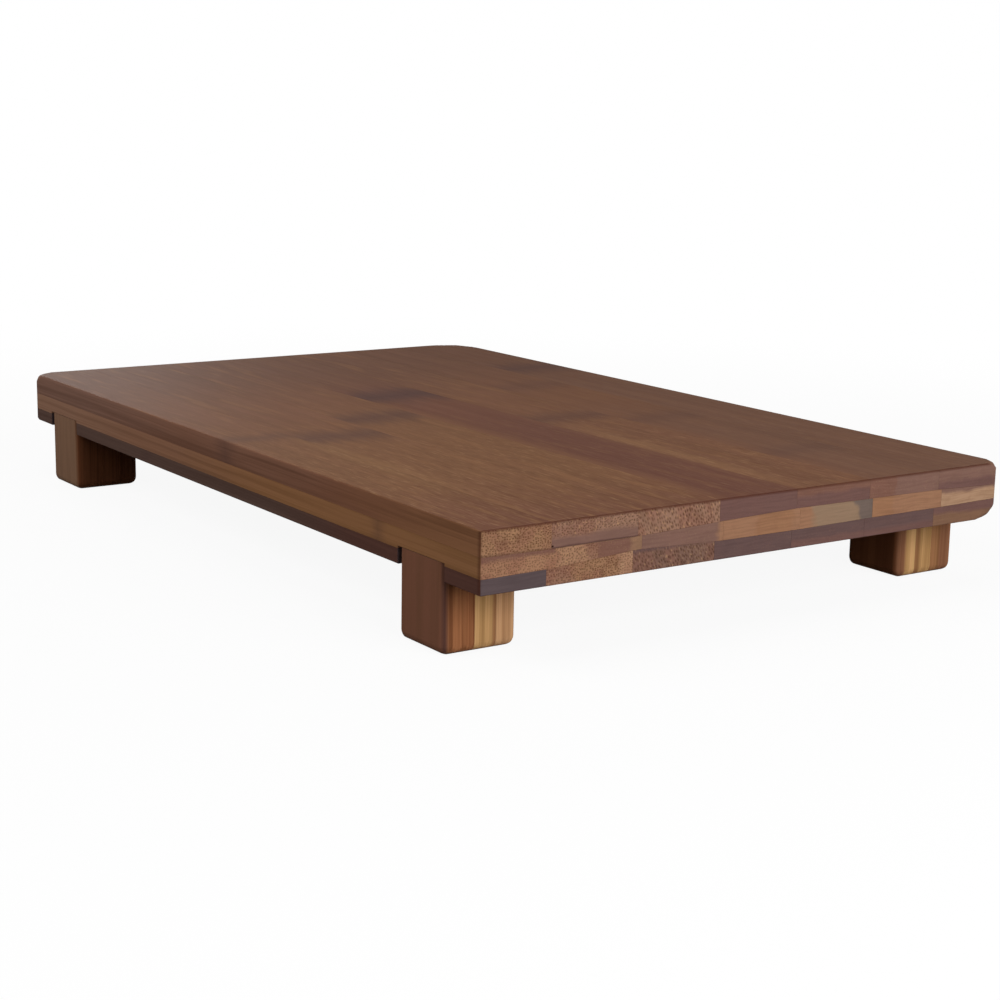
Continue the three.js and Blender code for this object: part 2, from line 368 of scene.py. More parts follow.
STRIPS = {
    "top_stave_1": Strip(
        [Zone(0, "chestnut"), Zone(0.08, "caramel"), Zone(0.45, "toffee"), Zone(0.75, "walnut")],
        [Zone(0, "tan", 0.95)], bands=0.45, pit=PIT, glue=0.35,
        side=[Zone(0, "ochre"), Zone(0.12, "auburn"), Zone(0.3, "almond"), Zone(0.7, "dust")],
        knuckles=[Knuckle(151, 0.4, 12)], streaks=[Streak(21.5, 4.0, 60, 140, "honey", 0.1)]),
    "top_stave_2": Strip(
        [Zone(0, "chestnut"), Zone(0.06, "caramel"), Zone(0.44, "toffee"), Zone(0.75, "walnut")],
        [Zone(0, "mauve", 0.1), Zone(0.4, "biscuit", 0.95)], end_axis="Z", pit=PIT, glue=0.6,
        knuckles=[Knuckle(141, 0.6, 20)], streaks=[Streak(25.0, 4.0, 50, 138, "honey", 0.1)]),
    "top_stave_3": Strip(
        [Zone(0, "chestnut"), Zone(0.05, "caramel"), Zone(0.52, "toffee"), Zone(0.75, "walnut")],
        [Zone(0, "biscuit", 0.95)], lean=-25, knuckles=[Knuckle(168, 0.65, 22)]),
    "top_stave_4": Strip(
        [Zone(0, "maroon"), Zone(0.45, "chestnut"), Zone(0.7, "walnut")], [Zone(0, "plum", 0.1)],
        patches=0.2, knuckles=[Knuckle(206, 0.9, 30)],
        streaks=[Streak(82.8, 8.0, 0, 180, "caramel", 0.5), Streak(112.6, 5.0, 0, 150, "toffee", 0.35)]),
    "top_stave_5": Strip(
        [Zone(0, "toffee"), Zone(0.7, "walnut")], [Zone(0, "plum", 0.1), Zone(0.62, "rosewood", 0.15)],
        end_axis="Z", knuckles=[Knuckle(136, 0.5, 18)],
        streaks=[Streak(116.5, 6.0, 14, 112, "honey", 0.12)]),
    "top_stave_6": Strip(
        [Zone(0, "cocoa"), Zone(0.4, "toffee"), Zone(0.7, "walnut")],
        [Zone(0, "rosewood", 0.2), Zone(0.35, "mauve", 0.15)], patches=0.15,
        knuckles=[Knuckle(48, 0.3, 16), Knuckle(120, 0.3, 16), Knuckle(202, 0.35, 20)],
        streaks=[Streak(142.4, 10.0, 0, 130, "toffee", 0.5)]),
    "top_stave_7": Strip(
        [Zone(0, "cocoa"), Zone(0.7, "walnut")], [Zone(0, "plum", 0.1), Zone(0.42, "mauve", 0.15)],
        end_axis="Z", patches=0.15, knuckles=[Knuckle(242, 0.65, 24)]),
    "core_stave_1": Strip(
        [Zone(0, "amber"), Zone(0.5, "hazel"), Zone(0.8, "dove")],
        [Zone(0, "wheat", 0.85), Zone(0.76, "rosewood", 0.5)], end_axis="Z",
        knuckles=[Knuckle(54, 0.35, 7)]),
    "core_stave_2": Strip(
        [Zone(0, "honey")],
        [Zone(0, "barley", 0.95), Zone(0.34, "cinnamon", 0.7), Zone(0.5, "rosewood", 0.3),
         Zone(0.84, "fawn", 0.3)],
        knuckles=[Knuckle(96, 0.5, 10)]),
    "core_stave_3": Strip(
        [Zone(0, "chestnut")], [Zone(0, "mauve", 0.15), Zone(0.93, "gold", 0.2)],
        knuckles=[Knuckle(210, 0.5, 10)]),
    "core_stave_4": Strip(
        [Zone(0, "amber")], [Zone(0, "gold", 0.15), Zone(0.45, "ember", 0.12), Zone(0.9, "gold", 0.1)],
        knuckles=[Knuckle(64, 0.5, 10)]),
    "core_stave_5": Strip(
        [Zone(0, "honey")], [Zone(0, "gold", 0.1), Zone(0.2, "sage", 0.1), Zone(0.81, "ash", 0.05)],
        slant=0.35, knuckles=[Knuckle(250, 0.5, 10)]),
    "core_stave_6": Strip(
        [Zone(0, "amber")], [Zone(0, "ember", 0.1), Zone(0.3, "gold", 0.15)],
        knuckles=[Knuckle(120, 0.5, 10)]),
    "core_stave_7": Strip(
        [Zone(0, "amber")], [Zone(0, "straw", 0.1), Zone(0.75, "mauve", 0.1)], end_axis="Z",
        knuckles=[Knuckle(190, 0.5, 10)]),
    "base_stave_1_front": Strip([Zone(0, "umber")], [Zone(0, "lead")]),
    "base_stave_1_middle": Strip(
        [Zone(0, "umber"), Zone(0.2, "bark")], [Zone(0, "lead")], knuckles=[Knuckle(214, 0.4, 10)]),
    "base_stave_1_back": Strip([Zone(0, "bark")], [Zone(0, "lead")]),
    "base_stave_2": Strip(
        [Zone(0, "russet")], [Zone(0, "cinnamon", 0.95), Zone(0.3, "tan", 0.95), Zone(0.85, "flax", 0.95)],
        knuckles=[Knuckle(80, 0.5, 10)]),
    "base_stave_3": Strip(
        [Zone(0, "russet")], [Zone(0, "rust", 0.75), Zone(0.9, "slate", 0.3)], end_axis="Z", lean=-30,
        knuckles=[Knuckle(230, 0.5, 10)]),
    "base_stave_4": Strip([Zone(0, "umber")], [Zone(0, "slate", 0.1)], knuckles=[Knuckle(150, 0.4, 10)]),
    "base_stave_5": Strip(
        [Zone(0, "umber")], [Zone(0, "plum", 0.1), Zone(0.4, "slate", 0.1)], end_axis="Z",
        knuckles=[Knuckle(100, 0.4, 10)]),
    "base_stave_6": Strip(
        [Zone(0, "umber")], [Zone(0, "plum", 0.1), Zone(0.35, "slate", 0.1)], end_axis="Z",
        knuckles=[Knuckle(246, 0.4, 10)]),
    "base_stave_7": Strip(
        [Zone(0, "umber")], [Zone(0, "fig", 0.1), Zone(0.55, "plum", 0.1)], end_axis="Z",
        knuckles=[Knuckle(180, 0.4, 10)]),
}


# How strong the dots are on the ends of the feet
FOOT_DOTS = 0.8


def foot_strip(face, end="gold", **looks):
    """A strip of a foot, whose tones follow one another across it."""
    return Strip(face, [Zone(0, end, FOOT_DOTS)], face_axis="X", **looks)


FOOT_STRIPS = {
    "front_left": {
        "outer": foot_strip(
            [Zone(0, "sienna")], "rust", bands=0.75, side=[Zone(0, "umber"), Zone(0.15, "copper")]),
        "middle": foot_strip([Zone(0, "honey"), Zone(0.86, "amber")]),
        "inner": foot_strip([Zone(0, "oat"), Zone(0.9, "russet")]),
    },
    "front_right": {
        "outer": foot_strip(
            [Zone(0, "russet")], "rust", bands=0.4, side=[Zone(0, "amber"), Zone(0.35, "russet")]),
        "middle": foot_strip([Zone(0, "amber"), Zone(0.25, "honey")]),
        # Painted shade on this strip's X faces, for its inner face in shadow under the board
        "inner": foot_strip([Zone(0, "painted_shade_brown")], side=[Zone(0, "russet"), Zone(0.4, "honey")]),
    },
    # Painted shade: this foot stands in shadow under the board, so its near and back faces and its middle and
    # inner strips are painted dark
    "back_left": {
        "outer": foot_strip([Zone(0, "fawn")], "rust", bands=0.6, side=[Zone(0, "painted_shade_brown")]),
        "middle": foot_strip([Zone(0, "painted_shade_brown")]),
        "inner": foot_strip([Zone(0, "painted_shade_brown")]),
    },
    "back_right": {
        "outer": foot_strip([Zone(0, "brick"), Zone(0.5, "russet")], "rust", bands=0.6),
        "middle": foot_strip([Zone(0, "honey")]),
        "inner": foot_strip([Zone(0, "russet"), Zone(0.12, "oat")]),
    },
}
DOWEL = Strip([Zone(0, "straw")], [Zone(0, "straw", 0.6)])

# How far each strip's pattern is carried from the last one's, in mm, and how long leaning strokes are
PATTERN_STEP = Vector((37.3, 211.7, 53.9))
STROKE_LENGTH = 2.2

# Long faces: how far the zones drift and how softly they meet along each axis, how much of each pattern
# goes into the streaks of the sawn sides and of the other faces, and where each kind of mark fades in and
# how strongly
FACE_DRIFT = 0.14
FACE_SOFTNESS = {"X": 0.08, "Y": 0.16}
TURNED_TO_AXIS = (0.3, 0.7)
SHARP_STREAKS = {"Bundle": 0.2, "Fibre": 0.4, "Flow": 0.6, "Bands": 0.5}
SOFT_STREAKS = {"Bundle": 0.05, "Fibre": 0.3, "Flow": 0.55, "Bands": 0.2, "Mottle": 0.5}
STREAK_STEP = (0.5, 1.05)
BAND_STEP = (0.48, 0.66)
BAND_DARKNESS = 0.45
PATCH_STEP = (0.48, 0.72)
NEAR_STEP = (0.2, 0.6)
FAR_MARKS = 0.2
PORE_STRENGTH = 1.1
FLECK_STRENGTH = 0.8
STREAK_FADE = 25 * MM

# End grain: how far the zones drift and how softly they meet along each axis, and where each kind of mark
# fades in and how strongly
END_DRIFT = {"X": 0.25, "Z": 0.35}
END_SOFTNESS = {"X": 0.04, "Z": 0.14}
LAYER_STEP = (0.35, 0.7)
LAYER_STRENGTH = 0.6
ROSY_STEP = (0.42, 0.62, 0.0, 0.45)
PALE_STRENGTH = 0.5
DOT_STRENGTH = 0.95
CLOUD_STEP = (0.5, 0.8, 0.0, 0.35)
GLUE_WAVE = 0.8 * MM
GLUE_EDGE = (0.15 * MM, 0.55 * MM)

# Marks over both: knuckles, painted shade in the glue void, and painted shade along the arrises
SMUDGE_STRENGTH = 0.85
LINE_STRENGTH = 0.15
PIT_HALF_SIZE = Vector((0.5, 2.0, 0.32)) * MM
PIT_EDGE = (0.55, 1.1)
ARRIS_REACH = 1.0 * MM
ARRIS_SHADE = 0.85
CORNER_SHADE = 0.7
TURNED_TO_END = (0.55, 0.9)
TURNED_TO_SIDE = (0.5, 0.9)

# Oiled and sanded finish
ROUGHNESS = 0.54
FIBRE_ROUGHNESS = 0.16
END_ROUGHNESS = 0.08
SHINE = 0.007
BUNDLE_RELIEF = -0.5
RELIEF_STRENGTH = 0.25
RELIEF_DEPTH = 0.06 * MM


def zoned(tree, position, zones, softness):
    """The zones' ground colour, darker colour and strength of the dots, at a position from 0 to 1."""
    ground, mark = (colour(tone) for tone in TONES[zones[0].tone])
    dots = zones[0].dots
    for before, zone in zip(zones, zones[1:]):
        amount = ease(tree, position, zone.start - softness, zone.start + softness)
        light, dark = (colour(tone) for tone in TONES[zone.tone])
        ground = blend(tree, amount, ground, light)
        mark = blend(tree, amount, mark, dark)
        dots = maths(tree, "MULTIPLY_ADD", amount, zone.dots - before.dots, dots)
    return ground, mark, dots


def share_along(tree, place, axis, box):
    """How far a place is along a box on one axis, from 0 to 1."""
    index = "XYZ".index(axis)
    low, high = box[0][index], box[1][index]
    return maths(tree, "MULTIPLY_ADD", parts_of(tree, place)[index], 1 / (high - low), -low / (high - low))


def weighted(tree, fibres, weights):
    """The sum of some of the fibre patterns, each with its own weight."""
    total = 0.0
    for name, weight in weights.items():
        total = maths(tree, "MULTIPLY_ADD", fibres[name], weight, total)
    return total


def long_face(tree, strip, place, box, facing, upright, fibres):
    """Streaks along the fibres, bands on the sawn sides, and patches and flecks on the upper face."""
    position = share_along(tree, place, strip.face_axis, box)
    position = carried(tree, position, fibres["Mottle"], FACE_DRIFT)
    softness = FACE_SOFTNESS[strip.face_axis]
    ground, mark, _ = zoned(tree, position, strip.face, softness)
    sawn = ease(tree, maths(tree, "ABSOLUTE", facing[1 if upright else 0]), *TURNED_TO_AXIS)
    if strip.side:
        side_ground, side_mark, _ = zoned(tree, position, strip.side, softness)
        ground = blend(tree, sawn, ground, side_ground)
        mark = blend(tree, sawn, mark, side_mark)
    sharp = weighted(tree, fibres, SHARP_STREAKS)
    soft = weighted(tree, fibres, SOFT_STREAKS)
    streak = maths(tree, "MULTIPLY_ADD", maths(tree, "SUBTRACT", sharp, soft), sawn, soft)
    face = blend(tree, ease(tree, streak, *STREAK_STEP), ground, mark)
    band = ease(tree, fibres["Bands"], *BAND_STEP, 0.0, strip.bands)
    deep = blend(tree, BAND_DARKNESS, mark, BAND_COLOUR)
    face = blend(tree, product(tree, band, sawn), face, deep)

    upper = ease(tree, facing[2], *TURNED_TO_AXIS)
    patch = ease(tree, fibres["Mottle"], *PATCH_STEP, 0.0, strip.patches)
    face = blend(tree, product(tree, patch, upper), face, PATCH_COLOUR)
    near = ease(tree, position, *NEAR_STEP, strip.patches, FAR_MARKS * strip.patches)
    marked = product(tree, near, upper)
    pores = product(tree, fibres["Pore"], marked, PORE_STRENGTH)
    face = blend(tree, pores, face, PORE_COLOUR)
    flecks = product(tree, fibres["Fleck"], marked, FLECK_STRENGTH)
    return blend(tree, flecks, face, FLECK_COLOUR)


def glue_line(tree, strip, place, name, fibres, surface):
    """A dark, slightly wavy glue line along the lower edge of a strip's end."""
    points = [vertex.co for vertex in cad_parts[name].data.vertices]
    left = min(point.x for point in points)
    right = max(point.x for point in points)
    at_left = min(point.z for point in points if point.x < left + SKIN)
    at_right = min(point.z for point in points if point.x > right - SKIN)
    slope = (at_right - at_left) / (right - left)
    axes = parts_of(tree, place)
    raised = maths(tree, "SUBTRACT", axes[2], at_left - left * slope)
    height = maths(tree, "MULTIPLY_ADD", axes[0], -slope, raised)
    height = carried(tree, height, fibres["Flow"], GLUE_WAVE)
    return blend(tree, ease(tree, height, *GLUE_EDGE, strip.glue, 0.0), surface, GLUE_COLOUR)


def end_grain(tree, strip, place, box, name, fibres):
    """End grain: bundle dots where the strip shows them, and fine layers where it doesn't."""
    position = share_along(tree, place, strip.end_axis, box)
    if strip.slant:
        rise = share_along(tree, place, "Z", box)
        leaning = strip.slant * (box[1][2] - box[0][2]) / (box[1][0] - box[0][0])
        position = maths(tree, "MULTIPLY_ADD", rise, leaning, position)
    position = carried(tree, position, fibres["Flow"], END_DRIFT[strip.end_axis])
    ground, mark, dots = zoned(tree, position, strip.end, END_SOFTNESS[strip.end_axis])
    layered = product(tree, ease(tree, fibres["Layers"], *LAYER_STEP), LAYER_STRENGTH)
    plain = blend(tree, layered, ground, mark)
    rosy = blend(tree, ease(tree, fibres["Flow"], *ROSY_STEP), ground, ROSY_COLOUR)
    pale = blend(tree, product(tree, fibres["Fleck"], PALE_STRENGTH), rosy, PALE_COLOUR)
    dotted = blend(tree, product(tree, fibres["Bundle"], DOT_STRENGTH), pale, mark)
    cut = blend(tree, dots, plain, dotted)
    cut = blend(tree, ease(tree, fibres["Mottle"], *CLOUD_STEP), cut, mark)
    return glue_line(tree, strip, place, name, fibres, cut) if strip.glue else cut


def knuckled(tree, strip, grain, surface):
    """The strip's knuckles laid over its surface."""
    for joint in strip.knuckles:
        given = {"Grain": grain, "Place": joint.place + NEAR_END / MM, "Spread": joint.spread}
        knuckle = group(tree, KNUCKLE, given)
        smudge = product(tree, knuckle["Smudge"], SMUDGE_STRENGTH * joint.strength)
        surface = blend(tree, smudge, surface, SMUDGE_COLOUR)
        line = product(tree, knuckle["Line"], LINE_STRENGTH * joint.strength)
        surface = blend(tree, line, surface, LINE_COLOUR)
    return surface


def streaked(tree, strip, place, fibres, surface):
    """The strip's own long streaks laid over its surface."""
    axes = parts_of(tree, place)
    for streak in strip.streaks:
        across = maths(tree, "SUBTRACT", axes[0], LEFT_SIDE + streak.across * MM)
        side = ease(tree, maths(tree, "ABSOLUTE", across), 0.0, streak.width * MM, 1.0, 0.0)
        start = NEAR_END + streak.start * MM
        stop = NEAR_END + streak.stop * MM
        begun = ease(tree, axes[1], start - STREAK_FADE, start + STREAK_FADE)
        ended = ease(tree, axes[1], stop - STREAK_FADE, stop + STREAK_FADE, 1.0, 0.0)
        fibrous = product(tree, fibres["Fibre"], streak.strength / MIDDLE)
        amount = product(tree, begun, ended, side, fibrous)
        surface = blend(tree, amount, surface, colour(TONES[streak.tone][0]))
    return surface


def pitted(tree, strip, place, surface):
    """Painted shade of a small void in the glue joint, on the near end only."""
    if strip.pit is None:
        return surface
    across, down = strip.pit
    centre = (LEFT_SIDE + across * MM, NEAR_END, SERVING_FACE - down * MM)
    offset = vector_maths(tree, "SUBTRACT", place, centre)
    distance = length_of(tree, vector_maths(tree, "DIVIDE", offset, PIT_HALF_SIZE))
    return blend(tree, ease(tree, distance, *PIT_EDGE, 1.0, 0.0), surface, VOID_SHADE_COLOUR)


def edge_shaded(tree, place, facing, surface):
    """Painted shade along the board's upper arrises and down its upright corners, laid over a surface."""
    arris = group(tree, ARRIS, {"Place": place, "Reach": ARRIS_REACH})
    surface = blend(tree, product(tree, arris["Arris"], ARRIS_SHADE), surface, EDGE_SHADE_COLOUR)
    along_side = ease(tree, maths(tree, "ABSOLUTE", facing[0]), *TURNED_TO_SIDE)
    corner_shade = product(tree, arris["Corner"], along_side, CORNER_SHADE)
    return blend(tree, corner_shade, surface, EDGE_SHADE_COLOUR)


def bamboo(name, strip, upright, number):
    """The oiled bamboo of one strip, with its fibres along the board or upright as in a foot."""
    material = bpy.data.materials.new(name)
    material.use_nodes = True
    tree = material.node_tree
    shader = tree.nodes["Principled BSDF"]
    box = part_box(name)
    here = put(tree, "ShaderNodeTexCoord").outputs
    place = here["Object"]
    turn = (math.radians(-90), 0.0, 0.0) if upright else (0.0, 0.0, 0.0)
    mapping = {"Vector": place, "Rotation": turn, "Scale": (1 / MM, 1 / MM, 1 / MM)}
    grain = put(tree, "ShaderNodeMapping", mapping).outputs[0]
    own_grain = vector_maths(tree, "ADD", grain, PATTERN_STEP * number)
    if strip.lean is not None:
        drawn_out = {"Vector": own_grain, "Rotation": (0.0, math.radians(strip.lean), 0.0),
                     "Scale": (1.0, 1.0, STROKE_LENGTH)}
        own_grain = put(tree, "ShaderNodeMapping", drawn_out, vector_type="TEXTURE").outputs[0]
    fibres = group(tree, FIBRES, {"Grain": own_grain, "Spacing": BUNDLE_SPACING})

    facing = parts_of(tree, here["Normal"])
    face = long_face(tree, strip, place, box, facing, upright, fibres)
    face = streaked(tree, strip, place, fibres, face)
    cut = end_grain(tree, strip, place, box, name, fibres)
    is_end = ease(tree, maths(tree, "ABSOLUTE", facing[2 if upright else 1]), *TURNED_TO_END)
    surface = blend(tree, is_end, face, cut)
    surface = knuckled(tree, strip, grain, surface)
    surface = pitted(tree, strip, place, surface)
    # Painted shade along the board's edges
    if not upright:
        surface = edge_shaded(tree, place, facing, surface)
    tree.links.new(surface, shader.inputs["Base Color"])

    rough = maths(tree, "MULTIPLY_ADD", fibres["Fibre"], FIBRE_ROUGHNESS, ROUGHNESS)
    rough = maths(tree, "MULTIPLY_ADD", is_end, END_ROUGHNESS, rough)
    tree.links.new(rough, shader.inputs["Roughness"])
    shader.inputs["Specular IOR Level"].default_value = SHINE
    height = maths(tree, "MULTIPLY_ADD", fibres["Bundle"], BUNDLE_RELIEF, fibres["Fibre"])
    relief = {"Strength": RELIEF_STRENGTH, "Distance": RELIEF_DEPTH, "Height": height}
    tree.links.new(put(tree, "ShaderNodeBump", relief).outputs[0], shader.inputs["Normal"])
    return material


# Edges are shaded round up to this angle, and flat faces hold their shading with this weight
ROUNDED_UP_TO = math.radians(38)
FLAT_FACE_WEIGHT = 100

# A point is moved along an axis where its normal leans that way by more than this
LEANING = 0.3


def make_sanded_strip():
    """The rule for every strip: its CAD solid, closed up at the glue joints and shaded as a sanded piece."""
    tree = bpy.data.node_groups.new("sanded_strip", "GeometryNodeTree")
    sockets(tree, "INPUT", [("Geometry", "Geometry"), ("Joint closing", "Float"), ("Half width", "Float"),
                            ("Lower skin", "Float"), ("Upper skin", "Float"), ("Finish", "Material")])
    sockets(tree, "OUTPUT", [("Geometry", "Geometry")])
    given = put(tree, "NodeGroupInput").outputs
    whole = {"Geometry": given["Geometry"], "Distance": SAME_POINT}
    merged = put(tree, "GeometryNodeMergeByDistance", whole).outputs[0]
    place = parts_of(tree, put(tree, "GeometryNodeInputPosition").outputs[0])
    normal = parts_of(tree, put(tree, "GeometryNodeInputNormal").outputs[0])

    def outward(component):
        leans = maths(tree, "GREATER_THAN", maths(tree, "ABSOLUTE", component), LEANING)
        return product(tree, maths(tree, "SIGN", component), leans)

    inner_width = maths(tree, "SUBTRACT", given["Half width"], SKIN * 2)
    inside = maths(tree, "LESS_THAN", maths(tree, "ABSOLUTE", place[0]), inner_width)
    above = maths(tree, "GREATER_THAN", place[2], given["Lower skin"])
    below = maths(tree, "LESS_THAN", place[2], given["Upper skin"])
    sideways = product(tree, outward(normal[0]), inside, given["Joint closing"])
    upwards = product(tree, outward(normal[2]), above, below, given["Joint closing"])
    closing = put(tree, "ShaderNodeCombineXYZ", {0: sideways, 2: upwards}).outputs[0]
    closed = put(tree, "GeometryNodeSetPosition", {"Geometry": merged, "Offset": closing}).outputs[0]
    angle = put(tree, "GeometryNodeInputMeshEdgeAngle").outputs[0]
    soft = maths(tree, "LESS_THAN", angle, ROUNDED_UP_TO)
    all_smooth = {"Geometry": closed, "Shade Smooth": True}
    smooth = put(tree, "GeometryNodeSetShadeSmooth", all_smooth, domain="FACE").outputs[0]
    soft_edges = {"Geometry": smooth, "Shade Smooth": soft}
    crisp = put(tree, "GeometryNodeSetShadeSmooth", soft_edges, domain="EDGE").outputs[0]
    real = put(tree, "GeometryNodeRealizeInstances", {"Geometry": crisp}).outputs[0]
    finished = put(tree, "GeometryNodeSetMaterial", {"Geometry": real, "Material": given["Finish"]})
    tree.links.new(finished.outputs[0], put(tree, "NodeGroupOutput").inputs["Geometry"])
    return tree


SANDED_STRIP = make_sanded_strip()

# A corner sanded round: its side in X and Y, and at the top and the underside the radius at its tip and the
# distance over which that fades out along the edges, in mm. The near left corner is crisp.
Corner = namedtuple("Corner", "across along top underside")
SOFT_CORNERS = [
    Corner(-1, 1, (4.2, 9.0), (2.5, 5.5)),
    Corner(1, 1, (5.5, 16.0), (5.5, 16.0)),
    Corner(1, -1, (3.6, 7.5), (5.0, 12.0)),
]

# Distances from the corner, in mm, at which the faces are cut so that there are points to move
CORNER_CUTS = [0.4, 0.8, 1.2, 1.6, 2.0, 2.5, 3.0, 3.5, 4.2, 5.0, 6.0, 7.0, 8.0, 10.0, 12.0, 15.0]

# A strip that comes this near to a corner has that corner, and is cut this far down and up from its faces
CORNER_DEPTH = 5.5 * MM

# Points that sanding moves further than this are smoothed, and those of slivers are merged
SANDED_AWAY = 0.05 * MM
SLIVER = 0.12 * MM
SANDING_PASSES = 3
SANDING_FACTOR = 0.5


def cut_across(work, axis, place):
    """Cuts all faces of a mesh along a plane square to one axis."""
    point = Vector()
    point[axis] = place
    normal = Vector()
    normal[axis] = 1.0
    everything = [*work.verts, *work.edges, *work.faces]
    bmesh.ops.bisect_plane(work, geom=everything, plane_co=point, plane_no=normal, dist=SAME_POINT)


def softened(place, corner):
    """Where a point goes when a corner is sanded round, with a radius that fades out along the edges."""
    below = SERVING_FACE - place.z
    above = place.z - UNDERSIDE
    from_side = HALF_WIDTH - corner.across * place.x
    from_end = HALF_LENGTH - corner.along * place.y
    depths = Vector((from_side, from_end, min(below, above)))
    tip, reach = corner.underside if above < below else corner.top
    share = max(0.0, max(depths)) / (reach * MM)
    if share >= 1.0:
        return place
    smooth_share = share * share * (3.0 - 2.0 * share)
    radius = tip * MM * (1.0 - smooth_share)
    inset = Vector([max(0.0, radius - depth) for depth in depths])
    if inset.length <= radius:
        return place
    move = inset * (1.0 - radius / inset.length)
    upwards = 1.0 if above < below else -1.0
    return place + Vector((-corner.across * move.x, -corner.along * move.y, upwards * move.z))


def nearness(place, corner):
    """How near a point is to a corner: 0 at its upright edge and further below 0 away from it."""
    return min(corner.across * place.x - HALF_WIDTH, corner.along * place.y - HALF_LENGTH)


def soften_corners(mesh):
    """Rounds those of the board's soft corners that a strip has."""
    work = bmesh.new()
    work.from_mesh(mesh)
    bmesh.ops.remove_doubles(work, verts=work.verts, dist=SAME_POINT)
    for corner in SOFT_CORNERS:
        if max(nearness(vertex.co, corner) for vertex in work.verts) < -CORNER_DEPTH:
            continue
        for cut in CORNER_CUTS:
            depth = cut * MM
            cut_across(work, 0, corner.across * (HALF_WIDTH - depth))
            cut_across(work, 1, corner.along * (HALF_LENGTH - depth))
            if depth < CORNER_DEPTH:
                cut_across(work, 2, SERVING_FACE - depth)
                cut_across(work, 2, UNDERSIDE + depth)
        sanded = []
        for vertex in work.verts:
            place = softened(vertex.co, corner)
            if (place - vertex.co).length > SANDED_AWAY:
                sanded.append(vertex)
            vertex.co = place
        bmesh.ops.remove_doubles(work, verts=sanded, dist=SLIVER)
        sanded = [vertex for vertex in sanded if vertex.is_valid]
        for _ in range(SANDING_PASSES):
            bmesh.ops.smooth_vert(work, verts=sanded, factor=SANDING_FACTOR,
                                  use_axis_x=True, use_axis_y=True, use_axis_z=True)
    work.to_mesh(mesh)
    work.free()


def set_input(modifier, name, value):
    for item in modifier.node_group.interface.items_tree:
        if item.item_type == "SOCKET" and item.in_out == "INPUT" and item.name == name:
            modifier[item.identifier] = value


def settle(piece):
    """Turns an object with live modifiers into a plain mesh object."""
    graph = bpy.context.evaluated_depsgraph_get()
    mesh = bpy.data.meshes.new_from_object(piece.evaluated_get(graph))
    piece.modifiers.clear()
    piece.data = mesh


def sand(node, finish, lower, upper):
    """Stands a sanded strip in for a CAD node."""
    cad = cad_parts[node]
    mesh = cad.data.copy()
    if "stave" in node:
        soften_corners(mesh)
    piece = bpy.data.objects.new("sanded_" + node, mesh)
    bpy.context.scene.collection.objects.link(piece)
    modifier = piece.modifiers.new("sanded strip", "NODES")
    modifier.node_group = SANDED_STRIP
    set_input(modifier, "Joint closing", JOINT_CLOSING)
    set_input(modifier, "Half width", HALF_WIDTH)
    set_input(modifier, "Lower skin", lower)
    set_input(modifier, "Upper skin", upper)
    set_input(modifier, "Finish", finish)
    shading = piece.modifiers.new("flat faces stay flat", "WEIGHTED_NORMAL")
    shading.keep_sharp = True
    shading.weight = FLAT_FACE_WEIGHT
    settle(piece)
    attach(piece, "root")
    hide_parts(node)


# The three lengths of the parted base stave are one strip, so they share one pattern
stave_names = []
for node, strip in STRIPS.items():
    stave = node[:len("base_stave_1")]
    if stave not in stave_names:
        stave_names.append(stave)
    finish = bamboo(node, strip, False, len(stave_names))
    sand(node, finish, UNDERSIDE + SKIN, SERVING_FACE - SKIN)
number = len(stave_names)
for foot, strips in FOOT_STRIPS.items():
    for part, strip in strips.items():
        number += 1
        node = "foot_" + foot + "_" + part
        sand(node, bamboo(node, strip, True, number), SKIN, SERVING_FACE)
    number += 1
    node = "dowel_" + foot
    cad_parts[node].data.materials[0] = bamboo(node, DOWEL, True, number)

# Floor and world: white where they are seen, with a faint shadow near the board, and dim in the light
# that they give
FLOOR_REACH = 6.0
FLOOR_HEIGHT = -0.02 * MM
FLOOR_WHITE = (0.95, 0.95, 0.95, 1.0)
FLOOR_BOUNCE = (0.22, 0.22, 0.22, 1.0)
FLOOR_FADE = (0.15, 0.6, 0.92, 1.0)
AMBIENT = 0.05
floor_mesh = bpy.data.meshes.new("floor")
corners = [(-FLOOR_REACH, -FLOOR_REACH), (FLOOR_REACH, -FLOOR_REACH), (FLOOR_REACH, FLOOR_REACH),
           (-FLOOR_REACH, FLOOR_REACH)]
floor_mesh.from_pydata([(x, y, FLOOR_HEIGHT) for x, y in corners], [], [(0, 1, 2, 3)])
floor = bpy.data.objects.new("floor", floor_mesh)
bpy.context.scene.collection.objects.link(floor)


def seen_directly(tree):
    """1 for rays that show the background itself or a reflection of it."""
    rays = put(tree, "ShaderNodeLightPath").outputs
    shown = maths(tree, "MAXIMUM", rays["Is Camera Ray"], rays["Is Glossy Ray"])
    return maths(tree, "MAXIMUM", shown, rays["Is Transmission Ray"])


paper = bpy.data.materials.new("pale_floor")
paper.use_nodes = True
paper.node_tree.nodes.clear()
tree = paper.node_tree
shown = seen_directly(tree)
tint = blend(tree, shown, FLOOR_BOUNCE, FLOOR_WHITE)
lit = put(tree, "ShaderNodeBsdfDiffuse", {"Color": tint})
white = put(tree, "ShaderNodeEmission", {"Color": WHITE, "Strength": 1.0})
away = length_of(tree, put(tree, "ShaderNodeTexCoord").outputs["Object"])
share = product(tree, shown, ease(tree, away, *FLOOR_FADE))
mixed = put(tree, "ShaderNodeMixShader", {0: share, 1: lit.outputs[0], 2: white.outputs[0]})
put(tree, "ShaderNodeOutputMaterial", {"Surface": mixed.outputs[0]})
floor_mesh.materials.append(paper)

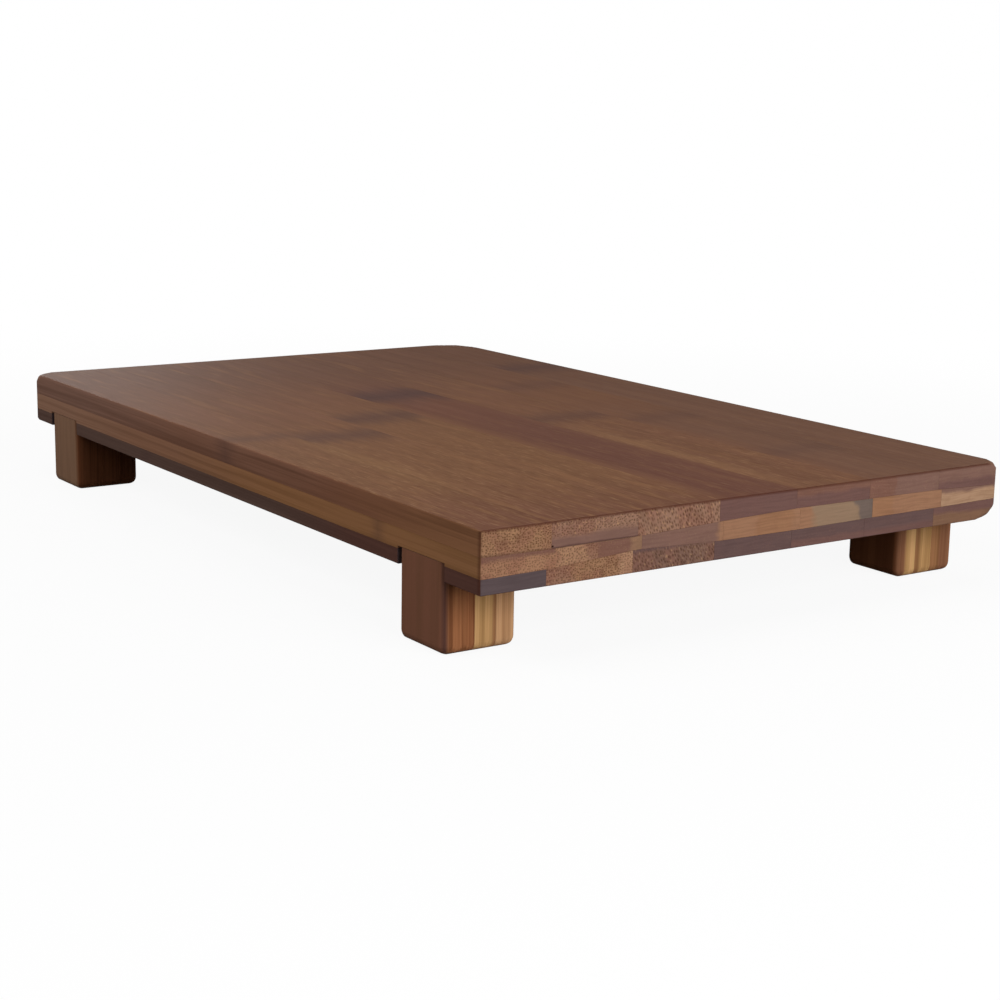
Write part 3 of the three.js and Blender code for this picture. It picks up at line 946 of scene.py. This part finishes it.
world = bpy.data.worlds.new("studio")
bpy.context.scene.world = world
world.use_nodes = True
tree = world.node_tree
tree.nodes.clear()
soft = put(tree, "ShaderNodeBackground", {"Color": WHITE, "Strength": AMBIENT})
bright = put(tree, "ShaderNodeBackground", {"Color": WHITE, "Strength": 1.0})
both = put(tree, "ShaderNodeMixShader", {0: seen_directly(tree), 1: soft.outputs[0], 2: bright.outputs[0]})
put(tree, "ShaderNodeOutputWorld", {"Surface": both.outputs[0]})

# Lamps, in metres and watts
Softbox = namedtuple("Softbox", "name place target width height power")
SOFTBOXES = [
    Softbox("front_softbox", (0.06, -0.75, 0.25), (0.02, -0.1, 0.03), 0.6, 0.4, 4.6),
    Softbox("left_softbox", (-0.78, 0.12, 0.66), (-0.1, 0.0, 0.03), 0.9, 0.45, 5.2),
    Softbox("overhead_softbox", (0.0, 0.0, 1.0), (0.0, 0.0, 0.03), 0.6, 0.6, 1.2),
    Softbox("back_panel", (0.25, 1.27, 0.25), (-0.05, 0.1, 0.03), 0.4, 0.3, 5.0),
    Softbox("low_right_fill", (1.0, 0.1, 0.14), (0.1, 0.0, 0.03), 0.6, 0.15, 2.5),
]
for softbox in SOFTBOXES:
    light = bpy.data.lights.new(softbox.name, "AREA")
    light.shape = "RECTANGLE"
    light.size = softbox.width
    light.size_y = softbox.height
    light.energy = softbox.power
    lamp = bpy.data.objects.new(softbox.name, light)
    lamp.location = softbox.place
    aim = Vector(softbox.target) - Vector(softbox.place)
    lamp.rotation_euler = aim.to_track_quat("-Z", "Y").to_euler()
    lamp.visible_camera = False
    bpy.context.scene.collection.objects.link(lamp)

# Camera, solved from the photo's straight edges
CAMERA_PLACE = Vector((-384.81, -586.33, 157.43)) * MM
CAMERA_YAW = math.radians(34.291)
CAMERA_PITCH = math.radians(12.04)
CAMERA_ROLL = math.radians(-1.028)
CAMERA_LENS = 71.45
SENSOR_WIDTH = 36.0
CLIP_START = 0.01
ahead = math.cos(CAMERA_PITCH)
forward = Vector((math.sin(CAMERA_YAW) * ahead, math.cos(CAMERA_YAW) * ahead, -math.sin(CAMERA_PITCH)))
level = Vector((math.cos(CAMERA_YAW), -math.sin(CAMERA_YAW), 0.0))
down = forward.cross(level)
right = level * math.cos(CAMERA_ROLL) + down * math.sin(CAMERA_ROLL)
up = level * math.sin(CAMERA_ROLL) - down * math.cos(CAMERA_ROLL)
lens = bpy.data.cameras.new("camera")
lens.lens = CAMERA_LENS
lens.sensor_width = SENSOR_WIDTH
lens.clip_start = CLIP_START
camera = bpy.data.objects.new("camera", lens)
turned = Matrix((right, up, -forward)).transposed().to_4x4()
camera.matrix_world = Matrix.Translation(CAMERA_PLACE) @ turned
bpy.context.scene.collection.objects.link(camera)
bpy.context.scene.camera = camera
bpy.context.scene.view_settings.view_transform = "Standard"
